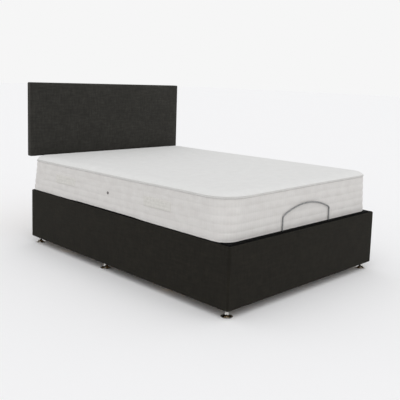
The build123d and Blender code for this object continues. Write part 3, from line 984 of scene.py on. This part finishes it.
# ---- the mattress -----------------------------------------------------------
@dataclass
class Mattress:
    """A quilted mattress, cut in three lengths along the bed."""

    border: Finish
    tape: Finish
    panel: Finish
    strap: Finish
    vent: Finish
    inset: float = 1 * MM
    corner_radii: tuple[float, float, float] = (85 * MM, 75 * MM, 24 * MM)
    corner_growth: tuple[float, float, float] = (75 * MM, 30 * MM, 52 * MM)
    edge_radius: float = 7 * MM
    shoulder: float = 70 * MM
    tape_up: float = 0.2225
    tape_radius: float = 4.6 * MM
    tape_sink: float = 2.2 * MM
    waver: float = 2.4 * MM
    climb_right: float = 5 * MM
    climb_to_foot: float = 8 * MM
    ribs: int = 5
    rib_steps: int = 9
    rib_depth: float = 2.1 * MM
    fullness: float = 0.7
    seam_sag: float = 3 * MM
    tuft_pitch: float = 0.19
    tuft_radius: float = 26 * MM
    tuft_depth: float = 2.6 * MM
    dip: float = 2.2 * MM
    wander: float = 1 * MM
    pucker: float = 0.7 * MM
    hinge_reach: tuple[float, float, float] = (-0.20, 0.36, 0.46)
    hollow: float = 22 * MM
    hollow_foot: float = -0.62
    hollow_side: tuple[float, float] = (0.585, 0.652)
    hinge_ease: float = 3 * MM
    ease_foot: float = -0.34
    ease_side: tuple[float, float] = (0.6, 0.66)
    back_cut: float = 0.005
    thigh_cut: float = -0.295
    back_start: float = 0.425
    knee_end: float = -0.735
    hinge_z: float = 0.357
    handle_size: tuple[float, float, float] = (5 * MM, 0.232, 0.056)
    handle_places: tuple[float, float] = (0.501, -0.436)
    handle_up: float = 0.122
    handle_sink: float = 1.2 * MM
    handle_rolls: int = 3
    handle_bevel: float = 1.8 * MM
    roll_depth: float = 1.6 * MM
    vent_place: tuple[float, float] = (0.025, 0.112)
    vent_radius: float = 6.2 * MM
    vent_wire: float = 2.4 * MM
    half_x: float = field(init=False)
    foot_y: float = field(init=False)
    head_y: float = field(init=False)
    bottom: float = field(init=False)
    top: float = field(init=False)

    def __post_init__(self) -> None:
        """Reads the size that the frame leaves for the mattress."""
        low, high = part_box("mattress_calf")
        self.half_x, self.foot_y, self.bottom, self.top = high.x, low.y, low.z, high.z
        self.head_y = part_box("mattress_back")[1].y

    def climb(self, x: float, y: float) -> float:
        """How much fuller the mattress is to the right and towards the foot."""
        return self.climb_right * x / self.half_x - self.climb_to_foot * y / self.head_y

    def tape_height(self, x: float, y: float) -> float:
        """How high the tape runs: it climbs with the mattress, and wavers."""
        waver = self.waver * noise.noise(Vector((x * 2.6, y * 2.6, 1.7)))
        return self.bottom + self.tape_up + self.climb(x, y) + waver

    def relief(self, x: float, y: float) -> float:
        """Finds the top's height below full: soft tufts in staggered rows, and slow unevenness.

        Args:
            x: The place across.
            y: The place along.

        Returns:
            The depth.
        """
        row = round(y / self.tuft_pitch)
        shift = self.tuft_pitch / 2 if row % 2 else 0.0
        column = round((x - shift) / self.tuft_pitch)
        away = math.hypot(x - shift - column * self.tuft_pitch, y - row * self.tuft_pitch)
        slow = 0.5 + 0.5 * noise.noise(Vector((x * 2.6, y * 2.6, 0.3)))
        return self.tuft_depth * math.exp(-(away / self.tuft_radius) ** 2) + self.dip * slow

    def surface(self, x: float, y: float) -> float:
        """The height of the top at a place in plan."""
        return self.top - self.relief(x, y) + max(0.0, self.climb(x, y))

    def by_hinges(self, y: float, foot: float) -> float:
        """One beside the hinges, from a place on the foot side to the back hinge, and else nothing."""
        full, fade, end = self.hinge_reach
        return smooth(foot, full, y) * (1 - smooth(fade, end, y))

    def underside(self, x: float, y: float) -> float:
        """The height of the underside: hollow over the hinges, so that it can bend clear."""
        inboard = 1 - smooth(*self.hollow_side, abs(x))
        return self.bottom + self.hollow * self.by_hinges(y, self.hollow_foot) * inboard

    def levels(self) -> list[Level]:
        """Lists the rings from the underside's edge, up the border, round the tape and over the shoulder.

        Returns:
            The levels, lowest first.
        """
        r, rings = self.edge_radius, []
        for a in map(math.radians, range(0, 76, 15)):
            rings.append(Level(-r + r * math.sin(a), r - r * math.sin(a),
                               lambda x, y, up=r - r * math.cos(a): self.bottom + up))
        for step in range(self.ribs * self.rib_steps):
            puff = math.sin(math.pi * (step % self.rib_steps) / self.rib_steps) ** self.fullness
            at = step / (self.ribs * self.rib_steps)
            rings.append(Level(-self.rib_depth * (1 - puff), 0.0,
                               lambda x, y, at=at: self.on_border(x, y, at), spread=at))
        r = self.tape_radius
        for a in map(math.radians, range(-90, 91, 30)):
            rings.append(Level(-self.tape_sink + r * math.cos(a), 0.0,
                               lambda x, y, up=r * math.sin(a): self.tape_height(x, y) + up,
                               Region.TAPE, 1.0))
        for share in (0.06, 0.14, 0.24, 0.34, 0.45, 0.56, 0.67, 0.78, 0.89, 1.0):
            a = share * math.pi / 2
            inset = r * 0.4 + self.shoulder * (1 - math.cos(a))
            rings.append(Level(-inset, inset,
                               lambda x, y, rise=math.sin(a): self.over_tape(x, y, rise), Region.PANEL, 1.0))
        return rings

    def over_tape(self, x: float, y: float, rise: float) -> float:
        """A height between the tape's top, at a rise of 0, and the mattress's top, at 1."""
        start = self.tape_height(x, y) + self.tape_radius
        return start + (self.surface(x, y) - start) * rise

    def on_border(self, x: float, y: float, at: float) -> float:
        """Finds a height on the border, where the rows of stitching sag a little.

        Args:
            x: The place across.
            y: The place along.
            at: The share of the way up, from the border's foot at 0 to the tape at 1.

        Returns:
            The height.
        """
        foot = self.bottom + self.edge_radius
        sag = self.seam_sag * math.sin(math.pi * at) * noise.noise(Vector((x * 5.0, y * 5.0, 4.0 * at)))
        return foot + (self.tape_height(x, y) - self.tape_radius - foot) * at + sag

    def whole(self) -> Piece:
        """Builds the mattress in one piece.

        Returns:
            The piece.
        """
        outline = Outline(self.half_x - self.inset, (self.head_y - self.foot_y) / 2 - self.inset,
                          (self.head_y + self.foot_y) / 2, *self.corner_radii, self.corner_growth)
        rings = self.levels()
        skin = RingSkin(outline, graded(outline.half_x, 9 * MM, 14 * MM),
                        graded(outline.half_y, 9 * MM, 12.5 * MM), rings)
        last, first = rings[-1], rings[0]
        body = skin.build("mattress_whole",
                          Level(last.offset, last.tighten, self.surface, Region.PANEL, last.spread),
                          Level(first.offset, first.tighten, self.underside))
        for vertex in body.data.vertices:
            self.ease(vertex)
        return body

    def ease(self, vertex: bpy.types.MeshVertex) -> None:
        """Rounds the lower edge more beside the hinges, and lets the border wander slightly.

        Args:
            vertex: The point to move.
        """
        x, y, z = vertex.co
        beside = self.by_hinges(y, self.ease_foot) * smooth(*self.ease_side, abs(x))
        lift = self.hinge_ease * beside * (1 - smooth(self.bottom, self.bottom + 0.03, z))
        vertex.co.x -= math.copysign(0.6 * lift, x)
        vertex.co.z += lift
        free = smooth(self.bottom, self.bottom + 0.05, z)
        push = self.wander * free * noise.noise(Vector((x * 4.0, y * 4.0, z * 5.0)))
        push += self.pucker * free * noise.noise(Vector((x * 21.0, y * 21.0, z * 6.0)))
        near = [abs(x) / self.half_x, abs(y) / self.head_y]
        if max(near) > 0.9:
            vertex.co.x += push * (1 if x > 0 else -1) * smooth(0.9, 1.0, near[0])
            vertex.co.y += push * (1 if y > 0 else -1) * smooth(0.9, 1.0, near[1])

    def cut(self, whole: Piece, name: str, low: float | None, high: float | None) -> Piece:
        """Cuts one length out of the mattress and closes its cut ends.

        Args:
            whole: The uncut mattress.
            name: The new piece's name.
            low: The foot side of the length, or None for the mattress's own end.
            high: The head side of the length, or None for the mattress's own end.

        Returns:
            The piece.
        """
        piece = link_object(name, whole.data.copy())
        shell = bmesh.new()
        shell.from_mesh(piece.data)
        for place, way in ((low, -1), (high, 1)):
            if place is None:
                continue
            cut = bmesh.ops.bisect_plane(
                shell, geom=shell.verts[:] + shell.edges[:] + shell.faces[:], dist=1e-6,
                plane_co=(0, place, 0), plane_no=(0, way, 0), clear_outer=True)
            edges = [e for e in cut["geom_cut"] if isinstance(e, bmesh.types.BMEdge)]
            cap = bmesh.ops.edgeloop_fill(shell, edges=edges, mat_nr=0)
            for sharp in edges + cap["faces"]:
                sharp.smooth = False
        bmesh.ops.recalc_face_normals(shell, faces=shell.faces)
        shell.to_mesh(piece.data)
        shell.free()
        return piece

    def build(self) -> None:
        """Builds the three lengths, the handles and the vents, and hides the frame's own mattress nodes."""
        whole = self.whole()
        materials = [self.border.material(), self.tape.material(), self.panel.material()]
        lengths = (
            ("mattress_back_length", self.back_cut, None, self.bend_back, ("mattress_back",)),
            ("mattress_thigh_length", self.thigh_cut, self.back_cut, self.bend_thigh,
             ("mattress_seat", "mattress_thigh")),
            ("mattress_calf_length", None, self.thigh_cut, self.bend_knee, ("mattress_calf",)))
        for name, low, high, bend, nodes in lengths:
            piece = self.cut(whole, name, low, high)
            for material in materials:
                piece.data.materials.append(material)
            bend(piece)
            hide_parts(*nodes)
            report(piece)
        bpy.data.objects.remove(whole)
        strap, eyelet = self.strap.material(), self.vent.material()
        for side, hand in ((-1, "left"), (1, "right")):
            for end, y, bend in zip(("head", "foot"), self.handle_places, (self.bend_back, self.bend_knee)):
                handle = self.handle(f"mattress_handle_{hand}_{end}", side, y)
                handle.data.materials.append(strap)
                bend(handle)
                report(handle)
            vent = self.eyelet(f"mattress_vent_{hand}", side)
            vent.data.materials.append(eyelet)
            self.bend_back(vent)
            report(vent)

    def bend_back(self, piece: Piece) -> None:
        """Bakes the transform of a piece that lies between the back section and the base into its mesh."""
        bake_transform(piece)

    def bend_thigh(self, piece: Piece) -> None:
        """Bakes the transform of a piece that lies between the base and the thigh section into its mesh."""
        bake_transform(piece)

    def bend_knee(self, piece: Piece) -> None:
        """Bakes the transform of a piece that lies between the thigh section and the calf section into its
        mesh.
        """
        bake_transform(piece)

    def handle(self, name: str, side: int, middle: float) -> Piece:
        """Makes one handle: a strip of doubled cloth with sewn rolls along it.

        Args:
            name: The piece's name.
            side: -1 for the left of the bed, 1 for the right.
            middle: The handle's middle along the bed.

        Returns:
            The piece.
        """
        clear_selection()
        bpy.ops.mesh.primitive_cube_add(size=1, location=(0, 0, 0))
        strip = bpy.context.active_object
        strip.name = strip.data.name = name
        strip.scale = self.handle_size
        strip.location = (side * (self.half_x - self.handle_sink), middle, self.bottom + self.handle_up)
        bpy.ops.object.transform_apply(location=True, rotation=False, scale=True)
        bpy.ops.object.mode_set(mode="EDIT")
        bpy.ops.mesh.select_all(action="SELECT")
        bpy.ops.mesh.bevel(offset=self.handle_bevel, segments=2, affect="EDGES")
        bpy.ops.mesh.select_all(action="SELECT")
        bpy.ops.mesh.subdivide(number_cuts=14)
        bpy.ops.object.mode_set(mode="OBJECT")
        _, length, height = self.handle_size
        for vertex in strip.data.vertices:
            up = (vertex.co.z - self.bottom - self.handle_up) / height
            ends = smooth(0.42, 0.47, abs(vertex.co.y - middle) / length)
            roll = abs(math.sin(math.pi * self.handle_rolls * (up + 0.5))) ** self.fullness * (1 - ends)
            vertex.co.x += side * (roll - 0.75) * self.roll_depth
        bpy.ops.object.shade_smooth()
        places = np.array([v.co for v in strip.data.vertices])
        RingSkin.write_attributes(strip, places, places[:, 1])
        return strip

    def eyelet(self, name: str, side: int) -> Piece:
        """Makes one small eyelet vent.

        Args:
            name: The piece's name.
            side: -1 for the left of the bed, 1 for the right.

        Returns:
            The piece.
        """
        clear_selection()
        along, up = self.vent_place
        bpy.ops.mesh.primitive_torus_add(
            major_radius=self.vent_radius, minor_radius=self.vent_wire, major_segments=32, minor_segments=10,
            location=(side * (self.half_x - 0.5 * MM), along, self.bottom + up),
            rotation=(0, math.pi / 2, 0))
        vent = bpy.context.active_object
        vent.name = vent.data.name = name
        bpy.ops.object.transform_apply(location=True, rotation=True, scale=True)
        bpy.ops.object.shade_smooth()
        return vent


# ---- the headboard ----------------------------------------------------------
@dataclass
class Headboard:
    """A flat padded board: foam under cloth that is drawn round its edges."""

    finish: Finish
    edge_radius: float = 11 * MM
    back_radius: float = 4 * MM
    corner_radius: float = 8 * MM
    return_depth: float = 14.7 * MM
    return_gap: float = 0.5 * MM
    return_lip: float = 2 * MM
    crown: float = 8 * MM
    crown_powers: tuple[int, int] = (14, 6)
    unevenness: float = 0.8 * MM

    def build(self) -> None:
        """Builds the pad round its board."""
        low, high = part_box("headboard_pad")
        half = (high.z - low.z) / 2
        outline = Outline(high.x, half, 0.0, *[self.corner_radius] * 3)
        levels = [Level(o, -o, lambda x, y, z=z: z) for o, z in self.section(high.y - low.y)]
        skin = RingSkin(outline, graded(outline.half_x, 5 * MM, 16 * MM),
                        graded(outline.half_y, 5 * MM, 16 * MM), levels)
        front, back = levels[-1], levels[0]
        pad = skin.build("headboard_padding", Level(front.offset, front.tighten, self.front_of(high.x, half)),
                         Level(back.offset, back.tighten, back.height))
        for vertex in pad.data.vertices:
            x, y, z = vertex.co
            vertex.co = Vector((x, low.y + z, (high.z + low.z) / 2 + y))
        face_outwards(pad)
        pad.data.materials.append(self.finish.material())
        finish_piece(pad, Body.BASE, Slot.UPHOLSTERY, "headboard_pad")

    def section(self, depth: float) -> list[tuple[float, float]]:
        """Draws the pad's edge, from the return inside the back face round to the front.

        Args:
            depth: The pad's depth.

        Returns:
            How far each ring stands out, and its depth behind the front.
        """
        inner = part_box("headboard_pad")[1].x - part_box("headboard_board")[1].x
        r, b, back = self.edge_radius, self.back_radius, -inner - self.return_gap
        section = [(back, depth - self.return_depth), (back, depth - 0.2 * MM),
                   (-inner + self.return_lip, depth)]
        section += [(-b + b * math.sin(a), depth - b + b * math.cos(a))
                    for a in map(math.radians, (0, 22, 45, 67, 90))]
        section += [(0.0, z) for z in np.linspace(depth - b, r, 5)[1:-1]]
        return section + [(-r + r * math.cos(a), r - r * math.sin(a))
                          for a in map(math.radians, range(0, 91, 10))]

    def front_of(self, half_x: float, half_z: float) -> Callable[[float, float], float]:
        """Shapes the front face: crowned in the middle, flat towards the edges.

        Args:
            half_x: Half the pad's width.
            half_z: Half the pad's height.

        Returns:
            The function that gives the depth at a place on the face.
        """
        def depth(x: float, z: float) -> float:
            """The depth behind the pad's foremost plane, which the crown stands proud of."""
            across, up = self.crown_powers
            swell = (1 - abs(x / half_x) ** across) * (1 - abs(z / half_z) ** up)
            return (self.unevenness * noise.noise(Vector((x * 5, z * 5, 7.0))) - self.crown) * swell
        return depth


# ---- the retainer bar -------------------------------------------------------
@dataclass
class RetainerBar:
    """A bright wire bar at the foot: two upright legs and a shallow arch between them."""

    finish: Finish
    wire_radius: float = 4 * MM
    corner_radius: float = 18 * MM
    slope: float = math.radians(25.4)

    def build(self) -> None:
        """Draws the bar's line as a curve and thickens it."""
        low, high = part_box("retainer_bar")
        y = (low.y + high.y) / 2
        half = high.x - self.wire_radius
        peak = high.z - self.wire_radius
        line = self.line(half, peak, low.z)
        clear_selection()
        bpy.ops.curve.primitive_nurbs_path_add(location=(0, 0, 0))
        bar = bpy.context.active_object
        bar.name = "retainer_wire"
        curve = bar.data
        curve.splines.clear()
        spline = curve.splines.new("POLY")
        spline.points.add(len(line) - 1)
        for point, (x, z) in zip(spline.points, line):
            point.co = (x, y, z, 1)
        curve.bevel_depth = self.wire_radius
        curve.bevel_resolution = 5
        curve.use_fill_caps = True
        make_active(bar)
        bpy.ops.object.convert(target="MESH")
        bpy.ops.object.shade_smooth_by_angle(angle=math.radians(50))
        bar.data.name = bar.name
        bar.data.materials.clear()
        bar.data.materials.append(self.finish.material())
        finish_piece(bar, Body.CALF, Slot.BAR_STEEL, "retainer_bar")

    def line(self, half: float, peak: float, foot: float) -> list[tuple[float, float]]:
        """Draws the bar's centre line in its own upright plane.

        Args:
            half: Half the distance between the legs.
            peak: The height of the arch's middle.
            foot: The height where the legs end.

        Returns:
            Points across and up, from the left foot to the right one.
        """
        r, s = self.corner_radius, self.slope
        arch = (half - r * (1 - math.sin(s))) / math.sin(s)
        shoulder = peak - r * math.cos(s) - arch * (1 - math.cos(s))
        left = [(-half, foot), (-half, (foot + shoulder) / 2)]
        left += [(-half + r - r * math.cos(a), shoulder + r * math.sin(a))
                 for a in np.linspace(0, math.pi / 2 - s, 9)]
        left += [(arch * math.sin(a), peak - arch + arch * math.cos(a))
                 for a in np.linspace(-s, 0, 15)[1:]]
        return left + [(-x, z) for x, z in reversed(left[:-1])]


# ---- finishes of the frame's own nodes --------------------------------------
@dataclass
class HardParts:
    """CAD nodes that stay in sight and share a finish."""

    finish: Finish
    nodes: tuple[str, ...]

    def dress(self) -> None:
        """Gives every listed node its material."""
        material = self.finish.material()
        for name in self.nodes:
            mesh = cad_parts[name].data
            if not mesh.materials:
                mesh.materials.append(material)
            for place in range(len(mesh.materials)):
                mesh.materials[place] = material
        LOG.info("%s on %d nodes", self.finish.name, len(self.nodes))


# ---- studio -----------------------------------------------------------------
@dataclass
class Studio:
    """A pale floor, a soft overhead light, an even sky and the camera."""

    location: tuple[float, float, float] = (-2.8394, -3.0028, 1.2002)
    turn: tuple[float, float, float] = (82.644, -1.984, -45.866)
    lens: float = 55.03
    shift: tuple[float, float] = (-0.0533, -0.1037)
    floor_half: float = 60.0
    horizon: str = "#f6f6f6"
    horizon_up: float = 0.30
    zenith: str = "#dcdcde"
    zenith_up: float = 0.62
    sun_energy: float = 0.85
    sun_width: float = math.radians(70)
    sun_turn: tuple[float, float, float] = (math.radians(22), math.radians(-14), 0.0)
    floor_colour: str = "#f4f4f4"

    def build(self) -> None:
        """Makes the camera, the lights and the floor."""
        self.camera()
        self.lights()
        self.floor()

    def camera(self) -> None:
        """Sets the camera."""
        lens = bpy.data.cameras.new("camera")
        lens.lens = self.lens
        lens.sensor_width = 36.0
        lens.shift_x, lens.shift_y = self.shift
        lens.clip_end = 200.0
        camera = link_object("camera", lens)
        camera.location = self.location
        camera.rotation_euler = [math.radians(a) for a in self.turn]
        bpy.context.scene.camera = camera

    def lights(self) -> None:
        """Makes the sky, brighter at the horizon, and one wide soft sun overhead."""
        bpy.context.scene.view_settings.view_transform = "Standard"
        world = bpy.data.worlds.new("studio_sky")
        world.use_nodes = True
        tree = world.node_tree
        tree.nodes.clear()
        way = add_node(tree, "TexCoord").outputs["Generated"]
        up = add_node(tree, "SeparateXYZ", {0: way}).outputs[2]
        ramp = add_node(tree, "ValToRGB", {0: up})
        stops = ((self.horizon_up, self.horizon), (self.zenith_up, self.zenith))
        for mark, (place, hex_code) in zip(ramp.color_ramp.elements, stops):
            mark.position, mark.color = place, linear(hex_code)
        sky = add_node(tree, "Background", {"Color": ramp.outputs[0], "Strength": 1.0})
        add_node(tree, "OutputWorld", {0: sky.outputs[0]})
        bpy.context.scene.world = world
        sun = bpy.data.lights.new("overhead_softbox", "SUN")
        sun.energy = self.sun_energy
        sun.angle = self.sun_width
        link_object("overhead_softbox", sun).rotation_euler = self.sun_turn

    def floor(self) -> None:
        """Lays a wide plain floor."""
        clear_selection()
        bpy.ops.mesh.primitive_plane_add(size=2 * self.floor_half, location=(0, 0, -0.2 * MM))
        floor = bpy.context.active_object
        floor.name = "studio_floor"
        material = bpy.data.materials.new("studio_floor")
        material.use_nodes = True
        shader = material.node_tree.nodes["Principled BSDF"]
        shader.inputs["Base Color"].default_value = linear(self.floor_colour)
        shader.inputs["Roughness"].default_value = 1.0
        shader.inputs["Specular IOR Level"].default_value = 0.0
        floor.data.materials.append(material)


def hard_parts() -> tuple[HardParts, ...]:
    """Lists the frame's nodes that stay in sight, by finish.

    Returns:
        The groups, ready to dress.
    """
    return (
        HardParts(SawnWood("planed_pine", "#d0b083", 0.62, late="#b38d5d"), (
            "corner_blocks", "ledger_rails", "cross_bearers", "headboard_struts", "strut_spacers")),
        # the deck boards' felt is near-black: black felt, and painted shadow of the gap under the mattress
        HardParts(FeltedPly("felted_plywood_and_painted_shade", "#d8bb8c", 0.85, late="#c8a470", ring=14 * MM), (
            "seat_deck_panel", "back_deck_panel", "thigh_deck_panel", "calf_deck_panel")),
        HardParts(LaminatedPly("furniture_ply", "#c9a877", 0.6, late="#b18d5b", ring=12 * MM), (
            "side_panel_left", "side_panel_right", "foot_panel", "head_panel", "headboard_board")),
        HardParts(PowderCoat("black_powder_coat", "#1c1d1e", 0.42), (
            "frame_rail_left", "frame_rail_right", "frame_cross_members", "seat_frame", "hinge_brackets",
            "bearing_plates", "back_frame", "thigh_frame", "calf_frame", "back_lift_tube",
            "back_lift_arms", "leg_lift_tube", "leg_lift_arms", "calf_wheel_tracks", "actuator_brackets")),
        HardParts(PlatedSteel("zinc_plate", "#c3c5c4", 0.34, 1.0, shade="#9a9d9d"), (
            "glide_studs", "hinge_bolts", "knee_bolts", "headboard_bolts")),
        HardParts(PlatedSteel("ground_steel_rod", "#cfd0d2", 0.16, 1.0, shade="#b5b7ba",
                              grain_depth=0.01 * MM), ("back_actuator_rod", "leg_actuator_rod")),
        HardParts(MouldedPlastic("black_abs", "#1d1d1e", 0.48), (
            "retainer_clips", "control_box", "control_box_lid", "power_inlet", "back_rod_eye",
            "leg_rod_eye")),
        HardParts(MouldedPlastic("motor_housing_abs", "#3b3c3f", 0.42, shade="#2f3033"), (
            "back_actuator_tube", "back_actuator_motor", "leg_actuator_tube", "leg_actuator_motor")),
        HardParts(MouldedPlastic("white_nylon", "#dcdad2", 0.4, shade="#cfccc2"), (
            "bearing_bushes", "back_lift_rollers", "leg_lift_rollers", "calf_wheels", "back_wear_strips",
            "thigh_wear_strips")))


def main() -> None:
    """Builds the bed's looks, from the studio inwards."""
    logging.basicConfig(level=logging.INFO, format="%(name)s %(message)s")
    Studio().build()
    # the base's chenille is a darker copy of the headboard's: the darkening is painted shade on the base's
    # sides
    DivanWrap(ChenilleWeave("base_chenille_painted_shade", "#1b1914", 0.92, dark="#14120d", light="#26231c", nap=0.06),
              # rim: black felt, made near-black so that it also paints the shadow in the gap under the
              # mattress
              NeedleFelt("rim_felt_and_painted_shade", "#070707", 0.95, fibre_tone="#111111")).build()
    GlideSet(PlatedSteel("bright_chrome", "#cfcdca", 0.1, 1.0, shade="#a9a6a1")).build()
    Mattress(
        # the top panel is lighter than the border: partly a lighter cloth, partly painted light on the top
        # and painted shade on the sides
        border=Ticking("border_damask", "#d7d5d2", 0.85, shade="#cecbc8", rib_tone=0.06),
        tape=Ticking("edge_tape", "#cac9c6", 0.8, shade="#bcbbb8", rib=4 * MM, rib_depth=0.3 * MM),
        panel=Ticking("top_knit_and_painted_light", "#dededc", 0.85, shade="#d9d9d7", rib=14 * MM, rib_tone=0.08, around=False),
        strap=StrapCloth("handle_strap", "#d4d2cd", 0.85),
        vent=MouldedPlastic("vent_eyelet", "#2e2a27", 0.4)).build()
    Headboard(ChenilleWeave("headboard_chenille", "#2b2a27", 0.92)).build()
    RetainerBar(PlatedSteel("bar_wire", "#a3a4a4", 0.3, 1.0, shade="#858686")).build()
    for group in hard_parts():
        group.dress()


if __name__ == "__main__":
    main()
